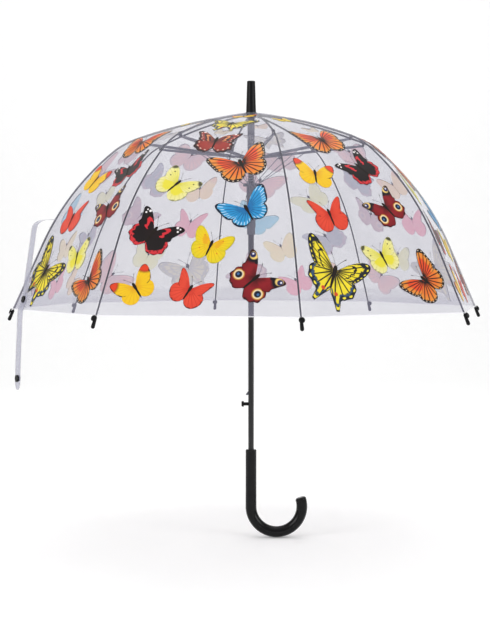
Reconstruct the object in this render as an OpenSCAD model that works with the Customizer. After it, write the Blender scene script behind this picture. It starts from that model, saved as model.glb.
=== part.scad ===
// Clear bubble umbrella with a deep dome, spring-opened by a push button, with a crook handle.
// The origin is on the shaft's axis, halfway down the straight stem of the handle. +Z points up.

/* [Shaft and handle] */
// Outer radius of the shaft tube
shaft_r = 5; // [4.8:0.1:5]
// Wall of the shaft tube
shaft_wall = 0.8; // [0.6:0.1:0.9]
// Radius of the handle's bar
handle_r = 9.7; // [9:0.1:11]
// Length of the handle's straight stem
stem_length = 102; // [90:1:110]
// Radius of the crook's centre line
crook_r = 45.3; // [40:0.5:50]
// Angle that the crook turns through
crook_sweep = 196; // [170:1:205]

/* [Dome] */
// Height of the crown above the origin
crown_z = 649.6; // [645:0.2:652]
// Slope of a rib at the crown, below level
slope_crown = 6.7; // [6:0.1:8]
// Slope of a rib where the stretcher meets it
slope_joint = 20.3; // [20:0.1:21]
// Slope of a rib below its shoulder
slope_shoulder = 39.6; // [38:0.2:42]
// Slope of a rib along its straight end
slope_side = 65.8; // [64:0.2:67]
// Radius of the shallow top of a rib
top_arc_r = 853; // [840:1:870]
// Radius of a rib's shoulder
shoulder_arc_r = 128; // [120:1:135]
// Radius of a rib's side below the shoulder
side_arc_r = 448; // [440:1:460]
// Length of a rib's straight end down to the hem
straight_length = 122; // [118:1:126]
// Azimuth of the first rib, from +X
first_azimuth = 10; // [0:1:44]
// Thickness of the film as a solid
film_t = 0.6; // [0.5:0.1:0.8]

/* [Ribs and stretchers] */
// Radius of a rib above its joint
upper_rod_r = 1.7; // [1.5:0.1:1.8]
// Radius of a rib below its joint
lower_rod_r = 1.4; // [1.2:0.1:1.5]
// Distance of the stretcher's pin below the rib
pin_drop = 5.2; // [5:0.1:5.6]
// Width of a stretcher's channel
channel_w = 3.6; // [3.2:0.1:3.8]
// Depth of a stretcher's channel
channel_h = 4.4; // [4:0.1:4.6]
// Radius of a wire link
link_r = 0.7; // [0.6:0.05:0.75]

/* [Slider] */
// Radius of the circle of pivots on the collar
collar_pivot_r = 15; // [14.5:0.1:15.2]
// Depth of the collar's pivots below the crown
collar_drop = 81; // [80:0.5:82]
// Radius of the circle of pivots on the runner
runner_pivot_r = 12; // [11.8:0.1:12.2]
// Depth of the runner's pivots below the crown
runner_drop = 129; // [128:0.5:130]
// Distance along a stretcher from its inner end to its wire link
link_at = 84; // [80:1:88]
// Length of the runner below its pivots
runner_length = 88; // [86:1:90]

/* [Hidden] */
$fn = 48;
RIBS = 8;
SECTOR = 360 / RIBS;

// Points in a spoke's plane are [distance from the shaft's axis, height].
function along(slope) = [cos(slope), -sin(slope)];
function out_of(slope) = [sin(slope), cos(slope)];
function arc_end(start, r, slope_a, slope_b) = start + r * (out_of(slope_b) - out_of(slope_a));
function slope_from(a, b) = atan2(a[1] - b[1], b[0] - a[0]);

crown_pivot = [8.6, crown_z - 6];
rib_joint = arc_end(crown_pivot, top_arc_r, slope_crown, slope_joint);
below_shoulder = arc_end(rib_joint, shoulder_arc_r, slope_joint, slope_shoulder);
side_end = arc_end(below_shoulder, side_arc_r, slope_shoulder, slope_side);
hem = side_end + straight_length * along(slope_side);
stretcher_pin = rib_joint - pin_drop * out_of(slope_joint);
collar_pivot = [collar_pivot_r, crown_z - collar_drop];
runner_pivot = [runner_pivot_r, crown_z - runner_drop];
stretcher_length = norm(stretcher_pin - collar_pivot);
stretcher_slope = slope_from(stretcher_pin, collar_pivot);
toward_rib = (stretcher_pin - collar_pivot) / stretcher_length;
link_pin = collar_pivot + link_at * toward_rib;

play = 0.07;
pin_r = 0.65;
eye_t = 2.4;
cheek_t = 1;
cheek_y = 1.45;
tongue_r = 1.4;
tongue_t = 1.6;
wall_r = 6.5;
link_y = 2.8;
handle_top = stem_length / 2;
crook_z = -stem_length / 2;
bore_r = shaft_r - shaft_wall;
button_z = 132.3;
catch_z = 148.2;
catch_h = 7;
catch_reach = 9.2;
film_gap = 2.1;
gore_gap = 0.25;

steel = "#8f9196";
black_steel = "#1c1c1f";
black_plastic = "#141416";
grey_plastic = "#5d5f66";
clear_film = "#e4e4ef";

module spoke(i) {
    rotate([0, 0, first_azimuth + SECTOR * (i - 1)]) children();
}

// A cylinder across the spoke's plane, centred on the plane.
module across(p, r, length, y = 0) {
    translate([p[0], y, p[1]]) rotate([90, 0, 0]) cylinder(r = r, h = length, center = true);
}

// A round bar between two points of the spoke's plane.
module bar(p, q, r, y = 0) {
    translate([p[0], y, p[1]])
        rotate([0, 90 + slope_from(p, q), 0])
            cylinder(r = r, h = norm(q - p));
}

// A flat strip between two points, its width in the spoke's plane and its thickness across it.
module strip(p, q, width, thickness, y = 0) {
    translate([p[0], y, p[1]])
        rotate([0, slope_from(p, q), 0])
            translate([0, -thickness / 2, -width / 2])
                cube([norm(q - p), thickness, width]);
}

// A bent round rod that leaves start at slope_a and turns down to slope_b.
module bent_rod(start, arc_r, slope_a, slope_b, rod_r) {
    centre = start - arc_r * out_of(slope_a);
    translate([centre[0], 0, centre[1]])
        rotate([90, 0, 0])
            rotate([0, 0, 90 - slope_b])
                rotate_extrude(angle = slope_b - slope_a, $fn = 96)
                    translate([arc_r, 0]) circle(r = rod_r, $fn = 24);
}

module ring_slots(z, h, floor_r) {
    for (i = [1 : RIBS]) spoke(i) {
        translate([floor_r, -1.2, z]) cube([20, 2.4, h]);
        translate([10, -2.1, z]) cube([15, 6, h]);
    }
}

module shaft_tube() {
    color(black_steel) difference() {
        translate([0, 0, 12]) cylinder(r = shaft_r, h = crown_z + 6);
        translate([0, 0, 11]) cylinder(r = bore_r, h = crown_z + 8);
        translate([-shaft_r - 1, 0, button_z]) rotate([0, 90, 0]) cylinder(r = 3.3, h = 4);
        translate([-shaft_r - 1, -1.7, catch_z - 1]) cube([4, 3.4, catch_h + 2]);
    }
}

module crook_end() {
    edge_r = 4;
    translate([0, 0, -1]) cylinder(r = handle_r - edge_r, h = edge_r + 1);
    rotate_extrude() translate([handle_r - edge_r, 0]) circle(r = edge_r);
}

module crook_handle() {
    color(black_plastic) difference() {
        union() {
            translate([0, 0, crook_z]) cylinder(r = handle_r, h = stem_length - 1);
            translate([0, 0, handle_top - 1]) cylinder(r1 = handle_r, r2 = handle_r - 1, h = 1);
            translate([crook_r, 0, crook_z]) rotate([90, 0, 0]) {
                rotate([0, 0, 180])
                    rotate_extrude(angle = crook_sweep, $fn = 96) translate([crook_r, 0]) circle(r = handle_r);
                rotate([0, 0, 180 + crook_sweep]) translate([crook_r, 0, 0]) rotate([-90, 0, 0]) crook_end();
            }
        }
        translate([0, 0, 12]) cylinder(r = shaft_r + 0.02, h = stem_length);
    }
}

module ferrule() {
    top_r = 7.2;
    base_r = 8.7;
    height = 52.4;
    color(black_plastic) translate([0, 0, crown_z]) difference() {
        union() {
            translate([0, 0, -2]) cylinder(r = base_r, h = 2);
            cylinder(r1 = base_r, r2 = top_r, h = height);
            translate([0, 0, height]) cylinder(r1 = top_r, r2 = top_r - 0.6, h = 0.8);
        }
        translate([0, 0, -3]) cylinder(r = shaft_r + 0.02, h = 21.1);
    }
}

module crown_notch() {
    color(grey_plastic) translate([0, 0, crown_z]) {
        difference() {
            translate([0, 0, -10.5]) cylinder(r = 10, h = 8.4);
            translate([0, 0, -11]) cylinder(r = shaft_r + 0.02, h = 10);
            for (i = [1 : RIBS]) spoke(i) translate([6.6, -1.1, -11]) cube([6, 2.2, 6.7]);
        }
        // The wire ring that the ribs hang from
        translate([0, 0, -6]) rotate_extrude() translate([crown_pivot[0], 0]) circle(r = 0.55, $fn = 24);
    }
}

module top_sleeve() {
    color(grey_plastic) translate([0, 0, crown_z - collar_drop + 4.8]) difference() {
        cylinder(r = 6.3, h = collar_drop - 15.6);
        translate([0, 0, -1]) cylinder(r = shaft_r + 0.02, h = collar_drop);
    }
}

module slide_collar() {
    color(grey_plastic) translate([0, 0, collar_pivot[1]]) difference() {
        union() {
            translate([0, 0, -3.2]) cylinder(r = 16.6, h = 5.6);
            translate([0, 0, -5]) cylinder(r = wall_r, h = 9.4);
        }
        translate([0, 0, -6]) cylinder(r = shaft_r + play, h = 12);
        ring_slots(-4, 8, wall_r);
    }
}

// A coil spring as a swept tube: points along the helix, then rings of points round them.
function coil_ring(a, r, pitch, wire_r, sides) = let (z = a / 360 * pitch) [
    for (s = [0 : sides - 1]) let (w = 360 * s / sides)
        [(r + wire_r * cos(w)) * cos(a), (r + wire_r * cos(w)) * sin(a), z + wire_r * sin(w)]];

module coil(r, wire_r, length, turns) {
    sides = 8;
    steps = 20 * turns;
    pitch = length / turns;
    points = [for (k = [0 : steps]) each coil_ring(360 * turns * k / steps, r, pitch, wire_r, sides)];
    walls = [for (k = [0 : steps - 1]) for (s = [0 : sides - 1]) let (n = (s + 1) % sides)
        [k * sides + s, (k + 1) * sides + s, (k + 1) * sides + n, k * sides + n]];
    ends = [[for (s = [0 : sides - 1]) s], [for (s = [sides - 1 : -1 : 0]) steps * sides + s]];
    polyhedron(points, concat(walls, ends), convexity = 10);
}

spring_bottom = crown_z - runner_drop + 3.6;
spring_top = crown_z - collar_drop - 5.6;

module main_spring() {
    wire_r = 0.6;
    color(steel) translate([0, 0, spring_bottom + wire_r])
        coil(r = 6, wire_r = wire_r, length = spring_top - spring_bottom - 2 * wire_r, turns = 8);
}

module runner() {
    tube_r = 8;
    foot_r = 7.2;
    foot_h = 12;
    color(grey_plastic) translate([0, 0, runner_pivot[1]]) difference() {
        union() {
            translate([0, 0, -3]) cylinder(r = 14, h = 5.4);
            translate([0, 0, -runner_length + foot_h]) cylinder(r = tube_r, h = runner_length - foot_h - 2);
            translate([0, 0, -runner_length]) cylinder(r = foot_r, h = foot_h + 1);
        }
        translate([0, 0, -runner_length - 1]) cylinder(r = shaft_r + play, h = runner_length + 10);
        ring_slots(-4, 8, wall_r);
        // Flutes that the stretchers' inner ends pass along
        for (i = [1 : RIBS]) spoke(i) translate([wall_r, -1.2, -54]) cube([4, 2.4, 52]);
        // The window that the catch springs into
        translate([-10, -1.9, -runner_length + 1.6]) cube([6, 3.8, catch_h + 3]);
    }
}

module open_button() {
    color(black_plastic) translate([0, 0, button_z]) rotate([0, -90, 0]) {
        translate([0, 0, 2.9]) cylinder(r = 3, h = 10.6);
        translate([0, 0, 12.8]) cylinder(r = 5, h = 3.4);
        translate([0, 0, 16.2]) cylinder(r1 = 5, r2 = 4.1, h = 0.8);
    }
}

module runner_catch() {
    tooth = [[-1.6, 0], [-catch_reach, 0], [-catch_reach, 1.2], [-shaft_r, catch_h], [-1.6, catch_h]];
    color(steel) {
        translate([-2.6, -1.4, button_z - 8]) cube([1, 2.8, catch_z + catch_h - button_z + 12]);
        translate([0, 1.4, catch_z]) rotate([90, 0, 0]) linear_extrude(2.8) polygon(tooth);
    }
}

module rib_upper(i) {
    rod_from = 8;
    rod_until = 4;
    turn = 180 / PI / top_arc_r;
    slope_a = slope_crown + rod_from * turn;
    slope_b = slope_joint - rod_until * turn;
    rod_start = arc_end(crown_pivot, top_arc_r, slope_crown, slope_a);
    back = rib_joint - 9 * along(slope_joint);
    color(black_steel) spoke(i) {
        difference() {
            union() {
                across(crown_pivot, tongue_r, tongue_t);
                strip(crown_pivot, rod_start + 2 * along(slope_a), 2 * tongue_r - 0.2, tongue_t);
            }
            across(crown_pivot, 0.75, 4);
        }
        bent_rod(rod_start, top_arc_r, slope_a, slope_b, upper_rod_r);
        for (side = [-1, 1]) {
            y = side * (cheek_y + cheek_t / 2);
            strip(back, rib_joint, 2.8, cheek_t, y);
            across(rib_joint, 1.4, cheek_t, y);
            strip(rib_joint, stretcher_pin, 3.6, cheek_t, y);
            across(stretcher_pin, 2.1, cheek_t, y);
        }
        across(rib_joint, pin_r, 2 * cheek_y + cheek_t);
        across(stretcher_pin, pin_r, 2 * cheek_y + cheek_t);
    }
}

module rib_lower(i) {
    eye_r = 1.95;
    color(black_steel) spoke(i) difference() {
        union() {
            across(rib_joint, eye_r, eye_t);
            bent_rod(rib_joint, shoulder_arc_r, slope_joint, slope_shoulder, lower_rod_r);
            bent_rod(below_shoulder, side_arc_r, slope_shoulder, slope_side, lower_rod_r);
            bar(side_end, hem + 12 * along(slope_side), lower_rod_r);
            for (p = [below_shoulder, side_end]) translate([p[0], 0, p[1]]) sphere(r = lower_rod_r + 0.05);
        }
        across(rib_joint, pin_r + play, 6);
    }
}

// The cap on a rib's end: a button that holds the film's corner, and a round-ended sleeve.
module rib_tip(i) {
    start = hem + 0.8 * along(slope_side);
    head = hem + 4 * along(slope_side);
    color(black_plastic) spoke(i) difference() {
        translate([start[0], 0, start[1]]) rotate([0, 90 + slope_side, 0]) {
            cylinder(r1 = 2.4, r2 = 3.1, h = 16);
            translate([0, 0, 16]) sphere(r = 3.1);
        }
        bar(hem, hem + 12.2 * along(slope_side), lower_rod_r + 0.03);
    }
    color(black_plastic) spoke(i) translate([head[0], 0, head[1]]) rotate([0, slope_side, 0]) {
        translate([0, 0, 1.8]) cylinder(r = 2.1, h = 2);
        translate([0, 0, 3.2]) cylinder(r = 4.8, h = 1.2);
        translate([0, 0, 4.4]) cylinder(r1 = 4.8, r2 = 3.4, h = 1.1);
    }
}

module stretcher(i) {
    channel_from = collar_pivot + 22 * toward_rib;
    channel_to = stretcher_pin - 12 * toward_rib;
    eye_r = 2.1;
    color(steel) spoke(i) {
        difference() {
            union() {
                across(collar_pivot, tongue_r, tongue_t);
                strip(collar_pivot, channel_from + 3 * toward_rib, 2 * tongue_r - 0.2, tongue_t);
                strip(channel_from, channel_to, channel_h, channel_w);
                strip(channel_to - 3 * toward_rib, stretcher_pin, 2 * eye_r - 0.2, eye_t);
                across(stretcher_pin, eye_r, eye_t);
            }
            translate([0, 0, -1.4])
                strip(channel_from + 5 * toward_rib, channel_to - 5 * toward_rib, channel_h, channel_w - 1.4);
            across(collar_pivot, 0.7, 4);
            across(stretcher_pin, pin_r + play, 4);
        }
        across(link_pin, 0.6, 3.6, link_y - 1.1);
    }
}

module link(i) {
    eye_r = 1.5;
    color(steel) spoke(i) difference() {
        union() {
            across(link_pin, eye_r, 2 * link_r, link_y);
            across(runner_pivot, eye_r, 2 * link_r, link_y);
            bar(link_pin, runner_pivot, link_r, link_y);
        }
        across(link_pin, 0.6 + play, 4, link_y);
        across(runner_pivot, 0.7, 4, link_y);
    }
}

// The film of one gore runs from the crown to the hem, and from its rib to halfway to each neighbour.
film_start_r = 10.6;
film_start_slope = asin(sin(slope_crown) + (film_start_r - crown_pivot[0]) / top_arc_r);
film_start = arc_end(crown_pivot, top_arc_r, slope_crown, film_start_slope);
meridian = concat(
    [for (k = [0 : 5]) let (s = film_start_slope + (slope_joint - film_start_slope) * k / 6)
        [arc_end(film_start, top_arc_r, film_start_slope, s), s]],
    [for (k = [0 : 4]) let (s = slope_joint + (slope_shoulder - slope_joint) * k / 5)
        [arc_end(rib_joint, shoulder_arc_r, slope_joint, s), s]],
    [for (k = [0 : 5]) let (s = slope_shoulder + (slope_side - slope_shoulder) * k / 6)
        [arc_end(below_shoulder, side_arc_r, slope_shoulder, s), s]],
    [for (k = [0 : 2]) [side_end + straight_length * k / 2 * along(slope_side), slope_side]]);

// A point of the flat panel, f of the way from the rib to the panel's middle line.
function panel_point(m, lift, f) = let (
    p = m[0] + lift * out_of(m[1]),
    half = p[0] * sin(SECTOR) / 2,
    y = max(-half + gore_gap, min(half - gore_gap, f * half)))
    [p[0] - abs(y) * tan(SECTOR / 2), y, p[1]];

module canopy_gore(i) {
    cols = 4;
    rows = len(meridian);
    wide = 2 * cols + 1;
    sheet = rows * wide;
    points = [for (lift = [film_gap + film_t, film_gap]) for (m = meridian)
        for (c = [-cols : cols]) panel_point(m, lift, c / cols)];
    outer = [for (r = [0 : rows - 2]) for (c = [0 : wide - 2])
        [r * wide + c, r * wide + c + 1, (r + 1) * wide + c + 1, (r + 1) * wide + c]];
    inner = [for (f = outer) [sheet + f[3], sheet + f[2], sheet + f[1], sheet + f[0]]];
    rim = concat([for (c = [0 : wide - 1]) c],
        [for (r = [1 : rows - 1]) r * wide + wide - 1],
        [for (c = [wide - 2 : -1 : 0]) (rows - 1) * wide + c],
        [for (r = [rows - 2 : -1 : 1]) r * wide]);
    edges = [for (k = [0 : len(rim) - 1]) let (a = rim[k], b = rim[(k + 1) % len(rim)])
        [b, a, sheet + a, sheet + b]];
    color(clear_film, 0.5) spoke(i) polyhedron(points, concat(outer, inner, edges), convexity = 4);
}

// The strap is welded to one panel near its rib, stands off above the stud and hangs past the hem.
// Its path is a list of [depth, height] in the plane that halves the panel.
strap_w = 22;
strap_t = 0.6;
strap_y = -121;
strap_panel = 5.5;
strap_root = [cos(SECTOR / 2) * (side_end[0] - 18), side_end[1] + 43];
strap_stud = [cos(SECTOR / 2) * (hem[0] - 4), hem[1] + 19];
strap_path = [
    strap_root,
    strap_root + [20, 0],
    strap_root + [32, -3.5],
    strap_root + [38, -9],
    strap_root + [40, -17],
    strap_stud,
    strap_stud + [7, -19],
    strap_stud + [11, -90],
    strap_stud + [13.4, -153]];
strap_side = [for (k = [0 : len(strap_path) - 1]) let (
    run = strap_path[min(k + 1, len(strap_path) - 1)] - strap_path[max(k - 1, 0)])
    strap_t / 2 * [-run[1], run[0]] / norm(run)];

module tie_strap() {
    last = len(strap_path) - 1;
    color(clear_film, 0.6) spoke(strap_panel) translate([0, strap_y, 0]) rotate([90, 0, 0])
        linear_extrude(strap_w, center = true)
            polygon(concat(strap_path + strap_side, [for (k = [last : -1 : 0]) strap_path[k] - strap_side[k]]));
}

module strap_snaps() {
    snap_r = 6;
    low = strap_stud + [12.7, -134];
    color(grey_plastic) spoke(strap_panel) translate([strap_stud[0] + 1.2, strap_y, strap_stud[1]])
        rotate([0, 75, 0]) cylinder(r = snap_r, h = 1.8);
    color(black_plastic) spoke(strap_panel) {
        translate([low[0] + 0.6, strap_y, low[1]]) rotate([0, 88, 0]) cylinder(r = snap_r, h = 2.4);
        translate([low[0] - 2.6, strap_y, low[1]]) rotate([0, 88, 0]) cylinder(r = snap_r - 0.6, h = 2);
    }
}

shaft_tube();
crook_handle();
ferrule();
crown_notch();
top_sleeve();
slide_collar();
main_spring();
runner();
open_button();
runner_catch();
tie_strap();
strap_snaps();
rib_upper(1);  // rib_upper_1
rib_upper(2);  // rib_upper_2
rib_upper(3);  // rib_upper_3
rib_upper(4);  // rib_upper_4
rib_upper(5);  // rib_upper_5
rib_upper(6);  // rib_upper_6
rib_upper(7);  // rib_upper_7
rib_upper(8);  // rib_upper_8
rib_lower(1);  // rib_lower_1
rib_lower(2);  // rib_lower_2
rib_lower(3);  // rib_lower_3
rib_lower(4);  // rib_lower_4
rib_lower(5);  // rib_lower_5
rib_lower(6);  // rib_lower_6
rib_lower(7);  // rib_lower_7
rib_lower(8);  // rib_lower_8
rib_tip(1);  // rib_tip_1
rib_tip(2);  // rib_tip_2
rib_tip(3);  // rib_tip_3
rib_tip(4);  // rib_tip_4
rib_tip(5);  // rib_tip_5
rib_tip(6);  // rib_tip_6
rib_tip(7);  // rib_tip_7
rib_tip(8);  // rib_tip_8
stretcher(1);  // stretcher_1
stretcher(2);  // stretcher_2
stretcher(3);  // stretcher_3
stretcher(4);  // stretcher_4
stretcher(5);  // stretcher_5
stretcher(6);  // stretcher_6
stretcher(7);  // stretcher_7
stretcher(8);  // stretcher_8
link(1);  // link_1
link(2);  // link_2
link(3);  // link_3
link(4);  // link_4
link(5);  // link_5
link(6);  // link_6
link(7);  // link_7
link(8);  // link_8
canopy_gore(1);  // canopy_gore_1
canopy_gore(2);  // canopy_gore_2
canopy_gore(3);  // canopy_gore_3
canopy_gore(4);  // canopy_gore_4
canopy_gore(5);  // canopy_gore_5
canopy_gore(6);  // canopy_gore_6
canopy_gore(7);  // canopy_gore_7
canopy_gore(8);  // canopy_gore_8
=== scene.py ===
"""Looks of the clear bubble umbrella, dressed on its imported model."""
import logging
import math
from collections.abc import Sequence
from dataclasses import dataclass
from enum import Enum

import bmesh
import bpy
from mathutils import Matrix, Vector


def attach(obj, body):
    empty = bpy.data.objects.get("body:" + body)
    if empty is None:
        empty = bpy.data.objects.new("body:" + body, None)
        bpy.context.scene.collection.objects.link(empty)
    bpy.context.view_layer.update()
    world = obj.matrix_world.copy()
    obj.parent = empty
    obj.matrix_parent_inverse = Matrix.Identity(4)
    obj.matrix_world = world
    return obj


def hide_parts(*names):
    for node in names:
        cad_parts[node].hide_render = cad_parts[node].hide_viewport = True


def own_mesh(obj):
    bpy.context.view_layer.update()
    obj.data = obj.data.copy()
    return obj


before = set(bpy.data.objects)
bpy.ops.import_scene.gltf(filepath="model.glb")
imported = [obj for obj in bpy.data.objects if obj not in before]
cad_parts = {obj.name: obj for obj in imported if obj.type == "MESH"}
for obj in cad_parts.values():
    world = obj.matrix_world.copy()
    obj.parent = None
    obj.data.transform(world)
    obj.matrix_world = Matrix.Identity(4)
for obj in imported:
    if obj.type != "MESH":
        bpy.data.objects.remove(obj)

Tree = bpy.types.NodeTree
Node = bpy.types.Node
Socket = bpy.types.NodeSocket
Piece = bpy.types.Object
Drawing = bmesh.types.BMesh
Vertex = bmesh.types.BMVert

log = logging.getLogger("umbrella")
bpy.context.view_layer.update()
MM = 0.001
SPOKES = 8
SECTOR = math.radians(360 / SPOKES)
FIRST_AZIMUTH = math.radians(10)


def azimuth(spoke: float) -> float:
    """Angle of a spoke, counted from 1; a half stands for the panel after it."""
    return FIRST_AZIMUTH + SECTOR * (spoke - 1)


# ---------------------------------------------------------------- finishes


def linear(colour: str) -> tuple[float, float, float, float]:
    """Turn an sRGB hex colour into linear light.

    Args:
        colour: The colour as "#rrggbb".

    Returns:
        Red, green, blue and an alpha of 1.
    """
    parts = [int(colour[k : k + 2], 16) / 255 for k in (1, 3, 5)]
    r, g, b = (p / 12.92 if p <= 0.04045 else ((p + 0.055) / 1.055) ** 2.4 for p in parts)
    return r, g, b, 1.0


def feed(tree: Tree, node: Node, inputs: dict) -> None:
    """Set or link a node's inputs.

    Args:
        tree: The material's node tree.
        node: The node.
        inputs: Input name or number to a plain value, an output socket, or a node whose first output is meant.
    """
    for name, value in inputs.items():
        if isinstance(value, Node):
            value = next(socket for socket in value.outputs if socket.enabled)
        if isinstance(value, Socket):
            tree.links.new(value, node.inputs[name])
        else:
            node.inputs[name].default_value = value


def add(tree: Tree, kind: str, inputs: dict | None = None, **settings: object) -> Node:
    """Add one node with its settings and links.

    Args:
        tree: The material's node tree.
        kind: The node's type.
        inputs: What feeds its inputs, as for feed.
        settings: The node's own properties.

    Returns:
        The new node.
    """
    made = tree.nodes.new(kind)
    for name, value in settings.items():
        setattr(made, name, value)
    feed(tree, made, inputs or {})
    return made


@dataclass(frozen=True)
class Finish:
    """A surface of the umbrella: a name and the nodes that dress one Principled shader."""

    name: str

    def dress(self, tree: Tree, shader: Node) -> None:
        """Add the finish's own nodes to the shader."""
        raise NotImplementedError

    def material(self) -> bpy.types.Material:
        """Make the material, or find it if it was made before."""
        found = bpy.data.materials.get(self.name)
        if found:
            return found
        made = bpy.data.materials.new(self.name)
        made.use_nodes = True
        tree = made.node_tree
        tree.nodes.clear()
        shader = add(tree, "ShaderNodeBsdfPrincipled")
        add(tree, "ShaderNodeOutputMaterial", {"Surface": shader})
        self.dress(tree, shader)
        return made


@dataclass(frozen=True)
class HardFinish(Finish):
    """A finish of two tones that a pattern mixes, under a fine relief."""

    colour: str
    second: str
    roughness: float

    def coat(self, tree: Tree, shader: Node, pattern: Node, polish: tuple[float, float], bump: dict) -> None:
        """Dress the shader.

        Args:
            tree: The material's node tree.
            shader: The shader.
            pattern: What mixes the two tones and varies the polish.
            polish: What the pattern's low and high parts add to the roughness.
            bump: The relief's inputs.
        """
        tones = {"Factor": pattern, "A": linear(self.colour), "B": linear(self.second)}
        low, high = (self.roughness + step for step in polish)
        spread = {"Value": pattern, "From Min": 0.3, "From Max": 0.7, "To Min": low, "To Max": high}
        feed(tree, shader, {
            "Base Color": add(tree, "ShaderNodeMix", tones, data_type="RGBA"),
            "Roughness": add(tree, "ShaderNodeMapRange", spread),
            "Normal": add(tree, "ShaderNodeBump", bump),
        })


@dataclass(frozen=True)
class MouldedPlastic(HardFinish):
    """Injection-moulded ABS or nylon: a fine even grain, faint flow clouds, soft broad highlights."""

    grain_mm: float
    grain_height: float
    ior: float = 1.54
    specular: float = 0.5

    def dress(self, tree: Tree, shader: Node) -> None:
        """Clouds in the colour, a varied polish and a moulded grain."""
        place = add(tree, "ShaderNodeTexCoord").outputs["Object"]
        cloud = add(tree, "ShaderNodeTexNoise", {"Vector": place, "Scale": 1 / (18 * MM), "Detail": 3.0})
        grain = add(
            tree, "ShaderNodeTexNoise", {"Vector": place, "Scale": 1 / (self.grain_mm * MM), "Detail": 2.0}
        )
        relief = {"Height": grain, "Strength": self.grain_height, "Distance": 0.1 * MM}
        self.coat(tree, shader, cloud, (-0.05, 0.06), relief)
        shader.inputs["IOR"].default_value = self.ior
        shader.inputs["Specular IOR Level"].default_value = self.specular


@dataclass(frozen=True)
class CoatedSteel(HardFinish):
    """Drawn steel under black lacquer: long faint draw lines under a glossy skin."""

    line_mm: float

    def dress(self, tree: Tree, shader: Node) -> None:
        """Draw lines that run down the metal, and a lacquer with a little orange peel."""
        place = add(tree, "ShaderNodeTexCoord").outputs["Object"]
        across = 1 / (self.line_mm * MM)
        drawn = add(tree, "ShaderNodeMapping", {"Vector": place, "Scale": (across, across, 1 / (90 * MM))})
        lines = add(tree, "ShaderNodeTexNoise", {"Vector": drawn, "Scale": 1.0, "Detail": 2.0})
        peel = add(tree, "ShaderNodeTexNoise", {"Vector": place, "Scale": 1 / (2.4 * MM), "Detail": 1.0})
        self.coat(tree, shader, lines, (0.0, 0.1), {"Height": peel, "Strength": 0.12, "Distance": 0.1 * MM})
        shader.inputs["IOR"].default_value = 1.5


@dataclass(frozen=True)
class PlatedSteel(HardFinish):
    """Zinc-plated steel: a soft grey metal with cloudy patches and fine rolling marks."""

    def dress(self, tree: Tree, shader: Node) -> None:
        """Cloudy plating over fine rolled grain."""
        place = add(tree, "ShaderNodeTexCoord").outputs["Object"]
        cloud = add(tree, "ShaderNodeTexNoise", {"Vector": place, "Scale": 1 / (7 * MM), "Detail": 4.0})
        grain = add(tree, "ShaderNodeTexNoise", {"Vector": place, "Scale": 1 / (0.5 * MM), "Detail": 2.0})
        self.coat(
            tree, shader, cloud, (-0.08, 0.08), {"Height": grain, "Strength": 0.15, "Distance": 0.05 * MM}
        )
        shader.inputs["Metallic"].default_value = 1.0


@dataclass(frozen=True)
class ClearFilm(Finish):
    """Calendered soft PVC film: see-through with a milky lavender veil and a wet gloss.

    The film map holds the distance from the nearest rib and the distance above the hem, in metres.
    """

    colour: str
    veil: float
    seam_mm: float
    hem_mm: float
    low_mm: tuple[float, float] = (34, 26)
    low_veil: float = 0.13

    def dress(self, tree: Tree, shader: Node) -> None:
        """A cloudy veil that clears beside each rib's weld and whitens along the hem."""
        chart = add(tree, "ShaderNodeSeparateXYZ", {"Vector": add(tree, "ShaderNodeUVMap", uv_map="film")})
        place = add(tree, "ShaderNodeTexCoord").outputs["Object"]
        cloud = add(
            tree, "ShaderNodeTexNoise",
            {"Vector": place, "Scale": 1 / (60 * MM), "Detail": 4.0, "Roughness": 0.6}
        )
        veil = add(
            tree, "ShaderNodeMapRange",
            {
                "Value": cloud, "From Min": 0.3, "From Max": 0.7, "To Min": self.veil * 0.9,
                "To Max": self.veil * 1.1
            }
        )
        weld = add(
            tree, "ShaderNodeMapRange",
            {
                "Value": chart.outputs["X"], "From Min": self.seam_mm * MM, "From Max": self.seam_mm * 1.6 * MM,
                "To Min": 0.6, "To Max": 1.0
            },
            interpolation_type="SMOOTHSTEP"
        )
        sheer = add(tree, "ShaderNodeMath", {0: veil, 1: weld}, operation="MULTIPLY")
        hem = add(
            tree, "ShaderNodeMapRange",
            {
                "Value": chart.outputs["Y"], "From Min": self.hem_mm * MM, "From Max": self.hem_mm * 0.6 * MM,
                "To Min": 0.0, "To Max": 0.35
            },
            interpolation_type="SMOOTHSTEP"
        )
        edge = add(tree, "ShaderNodeLayerWeight", {"Blend": 0.18})
        rim = add(tree, "ShaderNodeMath", {0: edge.outputs["Facing"], 1: 0.25}, operation="MULTIPLY")
        low = add(
            tree, "ShaderNodeMapRange",
            {
                "Value": chart.outputs["Y"], "From Min": self.low_mm[0] * MM, "From Max": self.low_mm[1] * MM,
                "To Min": 0.0, "To Max": self.low_veil
            }
        )
        deep = add(tree, "ShaderNodeMath", {0: sheer, 1: low}, operation="ADD")
        cover = add(tree, "ShaderNodeMath", {0: deep, 1: hem}, operation="ADD")
        alpha = add(tree, "ShaderNodeMath", {0: cover, 1: rim}, operation="ADD", use_clamp=True)
        white = add(tree, "ShaderNodeMapRange", {"Value": hem, "From Min": 0.0, "From Max": 0.35})
        tint = add(
            tree, "ShaderNodeMix", {"Factor": white, "A": linear(self.colour), "B": linear("#f4f3f8")},
            data_type="RGBA"
        )
        crinkle = add(
            tree, "ShaderNodeTexNoise",
            {"Vector": place, "Scale": 1 / (26 * MM), "Detail": 3.0, "Distortion": 0.6}
        )
        bump = add(tree, "ShaderNodeBump", {"Height": crinkle, "Strength": 0.35, "Distance": 1.2 * MM})
        feed(tree, shader, {"Base Color": tint, "Alpha": alpha, "Normal": bump})
        shader.inputs["Roughness"].default_value = 0.16
        shader.inputs["IOR"].default_value = 1.53


# The angle that a wing covers, in radians.
WING_ARC = 0.95


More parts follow.
